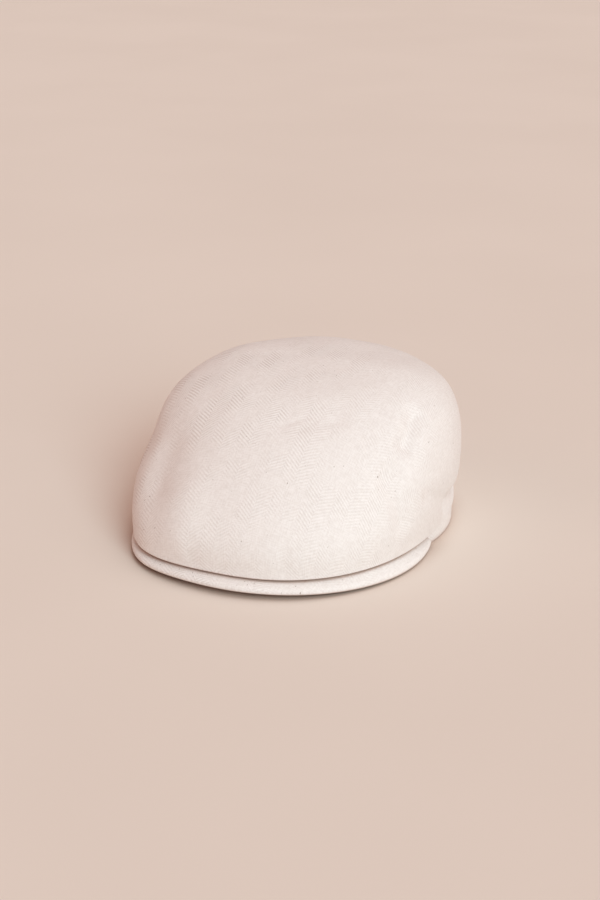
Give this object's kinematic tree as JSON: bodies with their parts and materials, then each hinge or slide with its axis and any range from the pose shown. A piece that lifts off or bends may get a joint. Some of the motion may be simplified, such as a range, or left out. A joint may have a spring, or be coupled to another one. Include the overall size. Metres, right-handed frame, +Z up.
{
  "type": "flat cap",
  "caption": "Flat cap with a soft rounded crown over a short curved peak and a low band, in a pale herringbone linen, resting by itself.",
  "frame": {"origin": "under the middle of the cap's box, on the surface that it rests on", "axes": "+Z up out of the crown, -Y towards the peak, +X towards the wearer's left"},
  "size_m": [0.2013, 0.2511, 0.1088],
  "materials": {
    "crown_cloth": "matt ecru linen in a wide herringbone weave",
    "band_cloth": "matt ecru linen in a wide herringbone weave",
    "peak_cloth": "matt ecru linen in a wide herringbone weave, over a stiff peak"
  },
  "bodies": {
    "root": {"crown": "crown_cloth", "band": "band_cloth", "peak": "peak_cloth"}
  },
  "joints": []
}
